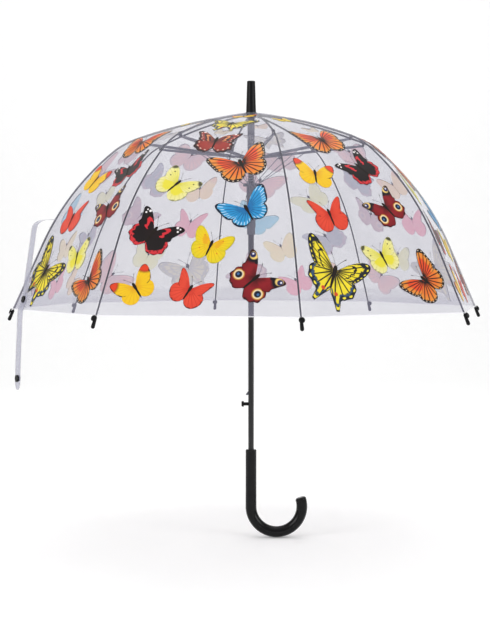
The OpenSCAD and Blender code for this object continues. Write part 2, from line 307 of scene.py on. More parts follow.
class Shape(Enum):
    """What a mark on a wing is."""

    RIM = "a border along the margin"
    VEINS = "lines that run out from the root"
    SPOTS = "a row of dots"
    DISC = "one round patch"
    BAND = "a bar across the wing"


class Wings(Enum):
    """The wings that a mark is printed on."""

    FORE = "the forewings"
    HIND = "the hindwings"
    BOTH = "all four wings"


@dataclass(frozen=True)
class Mark:
    """One layer of ink on a wing. Lengths are shares of the wing, root 0 and margin 1.

    Attributes:
        shape: What the mark is.
        colour: Its sRGB colour.
        out: How far out from the root it sits; for a disc, how far out from the body.
        size: Its half width or its radius.
        turn: For a band, its slant; for a disc, its height above the wings' roots.
        count: How many veins or dots.
        wings: The wings it is on.
    """

    shape: Shape
    colour: str
    out: float = 0.9
    size: float = 0.05
    turn: float = 0.5
    count: int = 1
    wings: Wings = Wings.BOTH


@dataclass(frozen=True)
class WingInk(Finish):
    """Screen-printed ink on film: opaque, satin, with crisp marks over a shaded ground."""

    root: str
    field: str
    margin: str
    marks: tuple[Mark, ...] = ()

    def cover(self, tree: Tree, mark: Mark, chart: dict[str, Socket]) -> Socket:
        """Where one mark covers the wing.

        Args:
            tree: The ink's node tree.
            mark: The mark.
            chart: The place across the wing ("turn") and from root to margin ("out"), the latter with an
                uneven edge ("ragged"), and the flat place in half wingspans ("plan").

        Returns:
            A share from 0 to 1.
        """
        turn, out, ragged = chart["turn"], chart["out"], chart["ragged"]
        if mark.shape is Shape.RIM:
            return add(
                tree, "ShaderNodeMapRange",
                {"Value": ragged, "From Min": mark.out - 0.02, "From Max": mark.out + 0.02}
            )
        if mark.shape is Shape.BAND:
            slant = add(tree, "ShaderNodeMath", {0: turn, 1: mark.turn, 2: -mark.out}, operation="MULTIPLY_ADD")
            away = add(tree, "ShaderNodeMath", {0: ragged, 1: slant}, operation="ADD")
            far = add(tree, "ShaderNodeMath", {0: away}, operation="ABSOLUTE")
        elif mark.shape is Shape.DISC:
            centre = (mark.out, mark.turn, 0.0)
            far = add(tree, "ShaderNodeVectorMath", {0: chart["plan"], 1: centre}, operation="DISTANCE")
        else:
            pitch = WING_ARC / mark.count
            cells = add(tree, "ShaderNodeMath", {0: turn, 1: float(mark.count)}, operation="MULTIPLY")
            if mark.shape is Shape.VEINS:
                near = add(tree, "ShaderNodeMath", {0: cells, 1: 0.5}, operation="PINGPONG")
                arc = add(tree, "ShaderNodeMath", {0: near, 1: pitch}, operation="MULTIPLY")
                far = add(tree, "ShaderNodeMath", {0: arc, 1: out}, operation="MULTIPLY")
            else:
                cell = add(tree, "ShaderNodeMath", {0: cells}, operation="FRACT")
                arc = add(
                    tree, "ShaderNodeMath", {0: cell, 1: pitch * mark.out, 2: -0.5 * pitch * mark.out},
                    operation="MULTIPLY_ADD"
                )
                beyond = add(tree, "ShaderNodeMath", {0: out, 1: -mark.out}, operation="ADD")
                offset = add(tree, "ShaderNodeCombineXYZ", {"X": arc, "Y": beyond})
                far = add(tree, "ShaderNodeVectorMath", {0: offset}, operation="LENGTH")
        share = add(
            tree, "ShaderNodeMapRange",
            {"Value": far, "From Min": mark.size * 1.15, "From Max": mark.size * 0.85}
        )
        if mark.shape is Shape.VEINS:
            start = add(
                tree, "ShaderNodeMapRange",
                {"Value": out, "From Min": mark.out - 0.02, "From Max": mark.out + 0.02}
            )
            share = add(tree, "ShaderNodeMath", {0: share, 1: start}, operation="MULTIPLY")
        return share

    def picture(self, tree: Tree) -> Socket:
        """A ground that shades from root to margin, then each mark over it in turn.

        Args:
            tree: The node tree to draw in.

        Returns:
            The picture's colour.
        """
        chart = add(tree, "ShaderNodeSeparateXYZ", {"Vector": add(tree, "ShaderNodeUVMap", uv_map="wing")})
        hind = add(tree, "ShaderNodeMath", {0: chart.outputs["X"], 1: 1.0}, operation="GREATER_THAN")
        fore = add(tree, "ShaderNodeMath", {0: 1.0, 1: hind}, operation="SUBTRACT")
        turn = add(tree, "ShaderNodeMath", {0: chart.outputs["X"]}, operation="FRACT")
        out = chart.outputs["Y"]
        plan = add(tree, "ShaderNodeUVMap", uv_map="plan")
        place = add(tree, "ShaderNodeTexCoord").outputs["Object"]
        speck = add(tree, "ShaderNodeTexNoise", {"Vector": place, "Scale": 1 / (5 * MM), "Detail": 3.0})
        waver = add(
            tree, "ShaderNodeMapRange",
            {"Value": speck, "From Min": 0.3, "From Max": 0.7, "To Min": -0.05, "To Max": 0.05}
        )
        ragged = add(tree, "ShaderNodeMath", {0: out, 1: waver}, operation="ADD")
        inner = add(tree, "ShaderNodeMapRange", {"Value": ragged, "From Min": 0.08, "From Max": 0.45})
        outer = add(tree, "ShaderNodeMapRange", {"Value": ragged, "From Min": 0.6, "From Max": 1.0})
        ink = add(
            tree, "ShaderNodeMix", {"Factor": inner, "A": linear(self.root), "B": linear(self.field)},
            data_type="RGBA"
        )
        ink = add(
            tree, "ShaderNodeMix", {"Factor": outer, "A": ink, "B": linear(self.margin)}, data_type="RGBA"
        )
        for mark in self.marks:
            share = self.cover(tree, mark, {"turn": turn, "out": out, "ragged": ragged, "plan": plan})
            if mark.wings is not Wings.BOTH:
                share = add(
                    tree, "ShaderNodeMath", {0: share, 1: fore if mark.wings is Wings.FORE else hind},
                    operation="MULTIPLY"
                )
            ink = add(
                tree, "ShaderNodeMix", {"Factor": share, "A": ink, "B": linear(mark.colour)}, data_type="RGBA"
            )
        return ink

    def dress(self, tree: Tree, shader: Node) -> None:
        """The picture in an even satin ink."""
        feed(tree, shader, {"Base Color": self.picture(tree)})
        shader.inputs["Roughness"].default_value = 0.38
        shader.inputs["IOR"].default_value = 1.5
        shader.inputs["Specular IOR Level"].default_value = 0.25


@dataclass(frozen=True)
class PaleInk(Finish):
    """The white underprint below a picture: dry matt ink that the picture shows through from behind."""

    colour: str
    front: WingInk
    shows: float = 0.16

    def dress(self, tree: Tree, shader: Node) -> None:
        """A chalky, slightly uneven white with the picture faint in it."""
        place = add(tree, "ShaderNodeTexCoord").outputs["Object"]
        mottle = add(tree, "ShaderNodeTexNoise", {"Vector": place, "Scale": 1 / (4 * MM), "Detail": 3.0})
        thin = add(
            tree, "ShaderNodeMapRange",
            {"Value": mottle, "From Min": 0.35, "From Max": 0.75, "To Min": 0.0, "To Max": 0.3}
        )
        chalk = add(
            tree, "ShaderNodeMix", {"Factor": thin, "A": linear(self.colour), "B": linear("#f2f0f4")},
            data_type="RGBA"
        )
        tint = add(
            tree, "ShaderNodeMix", {"Factor": self.shows, "A": chalk, "B": self.front.picture(tree)},
            data_type="RGBA"
        )
        feed(tree, shader, {"Base Color": tint})
        shader.inputs["Roughness"].default_value = 0.6
        shader.inputs["IOR"].default_value = 1.5


@dataclass(frozen=True)
class BodyInk(Finish):
    """The dark ink of a butterfly's body and feelers, furred along its middle."""

    colour: str
    fur: str

    def dress(self, tree: Tree, shader: Node) -> None:
        """Short furry streaks of a warmer brown."""
        place = add(tree, "ShaderNodeTexCoord").outputs["Object"]
        fur = add(tree, "ShaderNodeTexNoise", {"Vector": place, "Scale": 1 / (1.6 * MM), "Detail": 2.0})
        tint = add(
            tree, "ShaderNodeMix", {"Factor": fur, "A": linear(self.colour), "B": linear(self.fur)},
            data_type="RGBA"
        )
        feed(tree, shader, {"Base Color": tint})
        shader.inputs["Roughness"].default_value = 0.5
        shader.inputs["IOR"].default_value = 1.5
        shader.inputs["Specular IOR Level"].default_value = 0.2


@dataclass(frozen=True)
class PaintedFloor(Finish):
    """A studio sweep in matt white paint: even, with the faintest roller texture."""

    colour: str

    def dress(self, tree: Tree, shader: Node) -> None:
        """A roller's soft unevenness."""
        place = add(tree, "ShaderNodeTexCoord").outputs["Object"]
        roller = add(tree, "ShaderNodeTexNoise", {"Vector": place, "Scale": 40.0, "Detail": 2.0})
        tint = add(
            tree, "ShaderNodeMix", {"Factor": roller, "A": linear(self.colour), "B": linear("#ffffff")},
            data_type="RGBA"
        )
        feed(tree, shader, {"Base Color": tint})
        shader.inputs["Roughness"].default_value = 0.9
        shader.inputs["Emission Color"].default_value = linear("#ffffff")
        shader.inputs["Emission Strength"].default_value = 0.08


# Each finish starts from what the real one is; the comment says what that gives the eye.
# Glossy moulded ABS: a deep black with one soft highlight down each curve.
BLACK_ABS = MouldedPlastic("moulded_abs_black", "#050506", "#0b0b0d", 0.22, 0.9, 0.08, specular=0.2)
# The same ABS from a worn tool: a little greyer, for small caps.
CAP_ABS = MouldedPlastic("moulded_abs_cap_black", "#070709", "#0f0f12", 0.34, 0.7, 0.15, specular=0.15)
# Glass-filled nylon: a dull mid grey that looks slightly waxy.
GREY_NYLON = MouldedPlastic("moulded_nylon_grey", "#3c3e44", "#4a4c53", 0.42, 0.6, 0.20, 1.53)
# Stove lacquer on steel tube: near black with a sharp bright line down it.
BLACK_LACQUER = CoatedSteel("lacquered_steel_tube_black", "#08080a", "#121216", 0.26, 1.2)
# Dipped lacquer on spring wire: black, softer than the tube.
BLACK_WIRE = CoatedSteel("lacquered_spring_wire_black", "#0d0d11", "#1d1e24", 0.32, 0.6)
# Zinc-plated pressed steel: a cool cloudy grey.
ZINC_STEEL = PlatedSteel("zinc_plated_steel", "#7e8088", "#5a5c64", 0.38)
# Oil-tempered spring steel: brighter wire with a blue-grey cast.
SPRING_STEEL = PlatedSteel("tempered_spring_steel", "#8c8e96", "#666870", 0.30)
# Calendered PVC: nearly clear, milky where two layers overlap.
DOME_FILM = ClearFilm("calendered_pvc_film", "#9c9aaf", 0.26, 2.6, 2.2)
# The same film doubled and welded for the strap: denser and a little greyer.
STRAP_FILM = ClearFilm("welded_pvc_strap", "#b0b0c2", 0.30, 1.2, 1.6)
# Ink for bodies: brown-black.
BODY_INK = BodyInk("printed_ink_body", "#0e0a09", "#261a13")
FLOOR_PAINT = PaintedFloor("matt_emulsion_white", "#f4f4f4")


# ---------------------------------------------------------------- meshes


@dataclass
class Patch:
    """A mesh being gathered: points, faces, and each face's material and corners on each map in turn."""

    points: list[Vector]
    faces: list[tuple[int, ...]]
    charts: list[list[tuple[float, ...]]]
    skins: list[int]

    @classmethod
    def empty(cls) -> "Patch":
        """A patch with nothing in it."""
        return cls([], [], [], [])

    def build(
        self, name: str, maps: Sequence[str], materials: Sequence[bpy.types.Material], smooth: bool = True
    ) -> Piece:
        """Turn the patch into an object.

        Args:
            name: The object's name.
            maps: The names of its UV maps.
            materials: Its materials, in the order that the faces' skins number them.
            smooth: Whether it is shaded smooth.

        Returns:
            The new object, in the row frame.
        """
        mesh = bpy.data.meshes.new(name)
        mesh.from_pydata([tuple(p) for p in self.points], [], self.faces)
        for name_of_map in maps:
            mesh.uv_layers.new(name=name_of_map)
        for face, spots, skin in zip(mesh.polygons, self.charts, self.skins):
            face.material_index = skin
            face.use_smooth = smooth
            for loop, spot in zip(face.loop_indices, spots):
                for k, layer in enumerate(mesh.uv_layers):
                    layer.data[loop].uv = spot[2 * k : 2 * k + 2]
        for material in materials:
            mesh.materials.append(material)
        made = bpy.data.objects.new(name, mesh)
        bpy.context.scene.collection.objects.link(made)
        return made


def swept_tube(path: Sequence[Vector], radius: float, sides: int) -> Patch:
    """A round tube along a path, closed at both ends.

    Args:
        path: The points that it follows.
        radius: Its radius.
        sides: How many sides its section has.

    Returns:
        The tube, its map running round and along it.
    """
    tube = Patch.empty()
    normal = Vector((0, 0, 1))
    for k, point in enumerate(path):
        ahead = path[min(k + 1, len(path) - 1)] - path[max(k - 1, 0)]
        side = ahead.cross(normal).normalized()
        up = side.cross(ahead).normalized()
        for n in range(sides):
            turn = 2 * math.pi * n / sides
            tube.points.append(point + radius * (math.cos(turn) * side + math.sin(turn) * up))
    for k in range(len(path) - 1):
        for n in range(sides):
            m = (n + 1) % sides
            tube.faces.append((k * sides + n, (k + 1) * sides + n, (k + 1) * sides + m, k * sides + m))
            tube.charts.append(
                [(n / sides, k), (n / sides, k + 1), ((n + 1) / sides, k + 1), ((n + 1) / sides, k)]
            )
    last = (len(path) - 1) * sides
    for ring in (range(sides), range(last + sides - 1, last - 1, -1)):
        tube.faces.append(tuple(ring))
        tube.charts.append([(0.5, 0.5)] * sides)
    tube.skins = [0] * len(tube.faces)
    return tube


# ---------------------------------------------------------------- the dome


@dataclass(frozen=True)
class DomeShape:
    """The surface of the dome. A rib's centre line lies in a spoke's plane; panels are flat across."""

    crown: tuple[float, float] = (8.6 * MM, 643.6 * MM)
    slopes: tuple[float, ...] = (6.7, 20.3, 39.6, 65.8)
    radii: tuple[float, ...] = (0.853, 0.128, 0.448)
    straight: float = 122 * MM
    film_gap: float = 2.4 * MM
    start: float = 2.0 * MM

    @property
    def joint(self) -> float:
        """Distance along a rib from the crown to its joint."""
        return self.radii[0] * math.radians(self.slopes[1] - self.slopes[0])

    @property
    def hem(self) -> float:
        """Distance along a rib from the crown to the hem."""
        turns = (math.radians(b - a) for a, b in zip(self.slopes, self.slopes[1:]))
        return sum(r * t for r, t in zip(self.radii, turns)) + self.straight

    def rib(self, down: float) -> tuple[float, float, float]:
        """A point of a rib's centre line.

        Args:
            down: Distance along the rib from the crown.

        Returns:
            Its distance from the axis, its height, and its slope below level.
        """
        r, z = self.crown
        for radius, a, b in zip(self.radii, self.slopes, self.slopes[1:]):
            a, b = math.radians(a), math.radians(b)
            end = min(b, a + down / radius)
            r += radius * (math.sin(end) - math.sin(a))
            z += radius * (math.cos(end) - math.cos(a))
            if end < b:
                return r, z, end
            down -= radius * (b - a)
        return r + down * math.cos(b), z - down * math.sin(b), b

    def half_width(self, down: float) -> float:
        """Half of a panel's width at a distance down its ribs."""
        r, _, slope = self.rib(down)
        return (r + self.film_gap * math.sin(slope)) * math.sin(SECTOR / 2)

    def ripple(self, panel: int, share: float, down: float) -> float:
        """The film's distance off its flat panel: gathers at the crown, puckers on the shoulder, slack below."""
        gather = 0.8 * MM * math.exp(-down / 0.07) * math.cos(3 * math.pi * share + panel)
        pucker = 1.0 * MM * math.exp(
            -(((down - self.joint - 0.03) / 0.05) ** 2)
        ) * math.cos(4.3 * math.pi * share + 2.1 * panel)
        slack = 1.1 * MM * math.sin(2 * math.pi * down / 0.23 + 1.7 * panel + 1.5 * share)
        return (gather + pucker + slack) * (1 - share * share)

    def place(self, panel: int, across: float, down: float, lift: float = 0.0) -> Vector:
        """A point on a panel of film.

        Args:
            panel: The panel between spokes panel and panel + 1.
            across: Distance from the panel's middle line, towards its later spoke.
            down: Distance along its ribs from the crown.
            lift: Distance outside the film.

        Returns:
            The point in the row frame.
        """
        r, z, slope = self.rib(down)
        reach = self.film_gap + lift
        rib_r = r + reach * math.sin(slope)
        half = rib_r * math.sin(SECTOR / 2)
        out = self.ripple(panel, max(-1.0, min(1.0, across / half)), down)
        depth = rib_r * math.cos(SECTOR / 2) + out * math.sin(slope)
        turn = azimuth(panel + 0.5)
        return Vector((
            depth * math.cos(turn) - across * math.sin(turn),
            depth * math.sin(turn) + across * math.cos(turn),
            z + reach * math.cos(slope) + out * math.cos(slope),
        ))


class Part(Enum):
    """The two lengths of a rib's film, above and below the rib's joint."""

    UPPER = "upper"
    LOWER = "lower"


@dataclass
class Dome:
    """The film of the dome: for each rib, one sheet above its joint and one below, edge to edge."""

    shape: DomeShape
    columns: int = 18
    row_pitch: float = 6 * MM
    folded: float = 0.10

    def rows(self, part: Part) -> list[float]:
        """Distances down the rib of one part's rows."""
        top, bottom = (
            self.shape.start, self.shape.joint
        ) if part is Part.UPPER else (self.shape.joint, self.shape.hem)
        count = round((bottom - top) / self.row_pitch)
        return [top + (bottom - top) * k / count for k in range(count + 1)]

    def sheet(self, spoke: int, part: Part) -> Patch:
        """The film on both sides of one rib, its map holding the distances from the rib and the hem."""
        film = Patch.empty()
        rows = self.rows(part)
        wide = 2 * self.columns + 1
        spots: list[tuple[float, float]] = []
        for down in rows:
            half = self.shape.half_width(down)
            for column in range(-self.columns, self.columns + 1):
                away = abs(column) / self.columns
                away = away ** 1.5  # columns close up towards the rib, where the film bends over it
                across = half * (1 - away)
                if column < 0:
                    film.points.append(self.shape.place((spoke - 2) % SPOKES + 1, across, down))
                else:
                    film.points.append(self.shape.place(spoke, -across, down))
                spots.append((half * away, self.shape.hem - down))
        for k in range(len(rows) - 1):
            for c in range(wide - 1):
                face = (k * wide + c, (k + 1) * wide + c, (k + 1) * wide + c + 1, k * wide + c + 1)
                film.faces.append(face)
                film.charts.append([spots[n] for n in face])
        film.skins = [0] * len(film.faces)
        return film

    def fold(self, piece: Piece, spoke: int, part: Part) -> None:
        """Ride a piece on its rib."""
        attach(piece, f"rib_{part.value}_{spoke}")
        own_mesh(piece)

    def build(self, prints: dict[tuple[int, Part], list[Piece]]) -> None:
        """Make every sheet of film and ride it on its rib.

        Args:
            prints: The printed pieces on each sheet; not used.
        """
        for spoke in range(1, SPOKES + 1):
            for part in Part:
                film = self.sheet(spoke, part).build(
                    f"film_{part.value}_{spoke}", ["film"], [DOME_FILM.material()]
                )
                rows = self.rows(part)
                widths = [2 * self.shape.half_width(down) for down in rows]
                self.fold(film, spoke, part)
                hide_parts(f"canopy_gore_{spoke}")


# ---------------------------------------------------------------- the prints


@dataclass(frozen=True)
class Outline:
    """A wing's outline: how far its margin is from the root at each angle, in degrees from straight out."""

    marks: tuple[tuple[float, float], ...]
    waves: int = 0
    depth: float = 0.0

    def reach(self, angle: float) -> float:
        """How far the margin lies from the root at an angle, on one smooth curve through the marks."""
        for k, ((a, p), (b, q)) in enumerate(zip(self.marks, self.marks[1:])):
            if angle <= b:
                before = self.marks[max(0, k - 1)]
                after = self.marks[min(len(self.marks) - 1, k + 2)]
                into = (q - before[1]) / (b - before[0]) * (b - a)
                away = (after[1] - p) / (after[0] - a) * (b - a)
                t = (angle - a) / (b - a)
                smooth = p + t * (into + t * (3 * (q - p) - 2 * into - away + t * (into + away - 2 * (q - p))))
                share = (angle - self.marks[0][0]) / (self.marks[-1][0] - self.marks[0][0])
                return smooth * (1 + self.depth * math.cos(2 * math.pi * self.waves * share))
        return self.marks[-1][1]


@dataclass(frozen=True)
class Kind:
    """A kind of butterfly: its two wings' outlines, its inks and the pale cast of its underprint."""

    fore: Outline
    hind: Outline
    ink: WingInk
    cast: str

    @property
    def pale(self) -> PaleInk:
        """The underprint below this kind's picture."""
        return PaleInk(self.ink.name.replace("ink_", "underprint_"), self.cast, self.ink)


BROAD = Outline(
    ((-16, 0.50), (-6, 0.66), (6, 0.74), (18, 0.82), (28, 0.93), (35, 1.0), (41, 0.97), (46, 0.80), (50, 0.48))
)
POINTED = Outline(
    ((-14, 0.39), (-4, 0.47), (8, 0.52), (20, 0.60), (30, 0.72), (38, 0.84), (43, 0.82), (47, 0.66), (51, 0.39))
)
ANGLED = Outline(
    (
        (-16, 0.44), (-6, 0.56), (6, 0.60), (16, 0.63), (24, 0.76), (31, 0.86), (38, 0.88), (44, 0.74),
        (49, 0.42)
    ),
    4, 0.025
)
ROUND = Outline(
    ((-18, 0.43), (-6, 0.57), (6, 0.65), (18, 0.74), (28, 0.82), (36, 0.86), (43, 0.79), (48, 0.62), (52, 0.38))
)
LONG = Outline(
    ((-12, 0.44), (-2, 0.56), (8, 0.66), (18, 0.78), (27, 0.92), (34, 1.0), (40, 0.96), (45, 0.76), (49, 0.44))
)
FAN = Outline(
    ((-92, 0.40), (-82, 0.58), (-70, 0.70), (-56, 0.75), (-40, 0.74), (-24, 0.70), (-10, 0.62), (4, 0.46))
)
WAVED = Outline(
    ((-92, 0.40), (-80, 0.60), (-66, 0.72), (-52, 0.74), (-38, 0.76), (-24, 0.70), (-10, 0.60), (4, 0.44)), 5,
    0.03
)
SMALL_FAN = Outline(
    ((-90, 0.38), (-78, 0.52), (-64, 0.62), (-50, 0.66), (-36, 0.66), (-22, 0.63), (-10, 0.56), (4, 0.42))
)
TAILED = Outline(
    (
        (-96, 0.40), (-86, 0.60), (-79, 0.72), (-73, 0.98), (-69, 1.0), (-64, 0.74), (-56, 0.70), (-44, 0.72),
        (-30, 0.70), (-14, 0.62), (4, 0.44)
    ),
    5, 0.02
)


class Butterfly(Enum):
    """The kinds that are printed on the dome."""

    ORANGE_VEINED = Kind(BROAD, FAN, WingInk("ink_orange_veined", "#c03a18", "#e0702a", "#e3983a", (
        Mark(Shape.BAND, "#e04c22", 0.48, 0.20, 0.0, wings=Wings.FORE),
        Mark(Shape.VEINS, "#17100e", 0.08, 0.013, count=6),
        Mark(Shape.RIM, "#17100f", 0.89),
        Mark(Shape.SPOTS, "#ecd8bc", 0.945, 0.018, count=9))), "#e6ccd6")
    BLACK_BANDED = Kind(ANGLED, WAVED, WingInk("ink_black_banded", "#1d0f10", "#150b0d", "#120b0f", (
        Mark(Shape.BAND, "#cf2c36", 0.52, 0.075, 0.05, wings=Wings.FORE),
        Mark(Shape.RIM, "#cf3038", 0.84, wings=Wings.HIND),
        Mark(Shape.SPOTS, "#1d0f10", 0.91, 0.020, count=5, wings=Wings.HIND),
        Mark(Shape.DISC, "#f2ecec", 0.53, 0.040, 0.49, wings=Wings.FORE),
        Mark(Shape.DISC, "#f2ecec", 0.61, 0.030, 0.39, wings=Wings.FORE),
        Mark(Shape.DISC, "#f2ecec", 0.63, 0.026, 0.49, wings=Wings.FORE),
        Mark(Shape.RIM, "#120b0f", 0.97))), "#c6c8d8")
    EYED = Kind(ANGLED, WAVED, WingInk("ink_dark_red_eyed", "#4a0f14", "#8a1a22", "#76151d", (
        Mark(Shape.DISC, "#17101a", 0.61, 0.31, 0.52, wings=Wings.FORE),
        Mark(Shape.DISC, "#ecc972", 0.57, 0.125, 0.46, wings=Wings.FORE),
        Mark(Shape.DISC, "#262a5a", 0.61, 0.090, 0.45, wings=Wings.FORE),
        Mark(Shape.DISC, "#dfe0ee", 0.63, 0.030, 0.47, wings=Wings.FORE),
        Mark(Shape.DISC, "#17101a", 0.35, 0.060, 0.37, wings=Wings.FORE),
        Mark(Shape.DISC, "#e8b24e", 0.43, 0.165, -0.24, wings=Wings.HIND),
        Mark(Shape.DISC, "#f6e8ca", 0.43, 0.135, -0.24, wings=Wings.HIND),
        Mark(Shape.DISC, "#12162a", 0.43, 0.108, -0.24, wings=Wings.HIND),
        Mark(Shape.DISC, "#3f6aa0", 0.45, 0.040, -0.24, wings=Wings.HIND),
        Mark(Shape.RIM, "#35090e", 0.955))), "#d8c6d4")
    SWALLOWTAIL = Kind(LONG, TAILED, WingInk("ink_swallowtail", "#6a5a1c", "#ecd82e", "#ead22a", (
        Mark(Shape.VEINS, "#141414", 0.10, 0.012, count=5),
        Mark(Shape.BAND, "#16161a", 0.58, 0.035, 0.0, wings=Wings.FORE),
        Mark(Shape.RIM, "#1b2029", 0.78),
        Mark(Shape.SPOTS, "#eedc38", 0.93, 0.026, count=8, wings=Wings.FORE),
        Mark(Shape.BAND, "#33506e", 0.83, 0.028, 0.0, wings=Wings.HIND),
        Mark(Shape.SPOTS, "#eedc38", 0.92, 0.036, count=6, wings=Wings.HIND),
        Mark(Shape.DISC, "#cc4a28", 0.17, 0.050, -0.50, wings=Wings.HIND))), "#d6d4da")
    YELLOW = Kind(ROUND, FAN, WingInk("ink_clear_yellow", "#e4b41c", "#edca1e", "#dcca26", (
        Mark(Shape.BAND, "#ecac1c", 0.42, 0.14, 0.1, wings=Wings.FORE),
        Mark(Shape.VEINS, "#c9a81a", 0.30, 0.005, count=7),
        Mark(Shape.DISC, "#d8701a", 0.36, 0.024, 0.29, wings=Wings.FORE),
        Mark(Shape.DISC, "#d8701a", 0.34, 0.026, -0.22, wings=Wings.HIND),
        Mark(Shape.RIM, "#bba81e", 0.97))), "#f6ead4")
    RED_TIPPED = Kind(ROUND, SMALL_FAN, WingInk("ink_red_tipped", "#e2a01a", "#efc216", "#eebe1a", (
        Mark(Shape.VEINS, "#d69c18", 0.30, 0.005, count=6),
        Mark(Shape.DISC, "#2a1612", 0.74, 0.36, 0.60, wings=Wings.FORE),
        Mark(Shape.DISC, "#de3f1e", 0.73, 0.32, 0.59, wings=Wings.FORE),
        Mark(Shape.RIM, "#2a1612", 0.965, wings=Wings.FORE))), "#f4e0d2")
    CORAL = Kind(POINTED, FAN, WingInk("ink_coral_red", "#c83426", "#e24a34", "#dc4430", (
        Mark(Shape.VEINS, "#c23424", 0.25, 0.006, count=7),
        Mark(Shape.RIM, "#4a1614", 0.97))), "#f2bcd0")
    PALE_SPOTTED = Kind(ROUND, FAN, WingInk("ink_pale_yellow_spotted", "#d4ca3c", "#e4dc74", "#e6e0a4", (
        Mark(Shape.VEINS, "#ccc668", 0.25, 0.005, count=7),
        Mark(Shape.DISC, "#4a4a34", 0.72, 0.20, 0.60, wings=Wings.FORE),
        Mark(Shape.DISC, "#26261c", 0.48, 0.026, 0.34, wings=Wings.FORE),
        Mark(Shape.DISC, "#26261c", 0.48, 0.026, 0.14, wings=Wings.FORE),
        Mark(Shape.BAND, "#e2d63c", 0.44, 0.24, 0.0, wings=Wings.HIND),
        Mark(Shape.RIM, "#8e8c58", 0.975))), "#eeedd6")
    BLUE = Kind(BROAD, SMALL_FAN, WingInk("ink_bright_blue", "#1b5f9c", "#2a8ec8", "#46a8da", (
        Mark(Shape.VEINS, "#123c6c", 0.25, 0.007, count=6),
        Mark(Shape.VEINS, "#d2e8f4", 0.74, 0.008, count=9),
        Mark(Shape.RIM, "#0e1a30", 0.92))), "#b2dcf0")
    TORTOISESHELL = Kind(ANGLED, WAVED, WingInk("ink_tortoiseshell", "#4c1814", "#98281c", "#7c2018", (
        Mark(Shape.BAND, "#1c1010", 0.36, 0.045, 0.0, wings=Wings.FORE),
        Mark(Shape.BAND, "#d8904a", 0.50, 0.035, 0.0, wings=Wings.FORE),
        Mark(Shape.BAND, "#1c1010", 0.62, 0.050, 0.0, wings=Wings.FORE),
        Mark(Shape.RIM, "#241214", 0.87),
        Mark(Shape.SPOTS, "#d8b8a4", 0.81, 0.028, count=6),
        Mark(Shape.DISC, "#ece2dc", 0.53, 0.040, 0.49, wings=Wings.FORE))), "#e0cad2")


@dataclass(frozen=True)
class Print:
    """One butterfly on a panel: its place and wingspan in millimetres, and its turn anticlockwise in degrees."""

    kind: Butterfly
    across: float
    down: float
    span: float
    turn: float


class Design(Enum):
    """The two printed panels, which alternate round the dome."""

    A = (
        Print(Butterfly.YELLOW, -14, 122, 33, 10),
        Print(Butterfly.ORANGE_VEINED, -2, 234, 88, 14),
        Print(Butterfly.RED_TIPPED, -58, 322, 76, -16),
        Print(Butterfly.BLACK_BANDED, 38, 303, 82, 36),
        Print(Butterfly.CORAL, -60, 400, 76, 8),
        Print(Butterfly.EYED, 57, 385, 79, 33),
        Print(Butterfly.SWALLOWTAIL, -80, 500, 108, -30),
        Print(Butterfly.PALE_SPOTTED, 20, 472, 70, 16),
        Print(Butterfly.ORANGE_VEINED, 93, 515, 84, 48),
    )
    B = (
        Print(Butterfly.RED_TIPPED, 6, 84, 46, 6),
        Print(Butterfly.SWALLOWTAIL, 0, 160, 74, -10),
        Print(Butterfly.TORTOISESHELL, -10, 240, 78, -8),
        Print(Butterfly.ORANGE_VEINED, 41, 300, 90, 27),
        Print(Butterfly.PALE_SPOTTED, -57, 342, 74, -40),
        Print(Butterfly.BLUE, 62, 393, 78, 31),
        Print(Butterfly.BLACK_BANDED, -82, 432, 84, -33),
        Print(Butterfly.YELLOW, 11, 454, 68, -20),
        Print(Butterfly.RED_TIPPED, -101, 525, 72, 35),
        Print(Butterfly.CORAL, -15, 528, 69, -28),
        Print(Butterfly.EYED, 84, 510, 83, -46),
    )


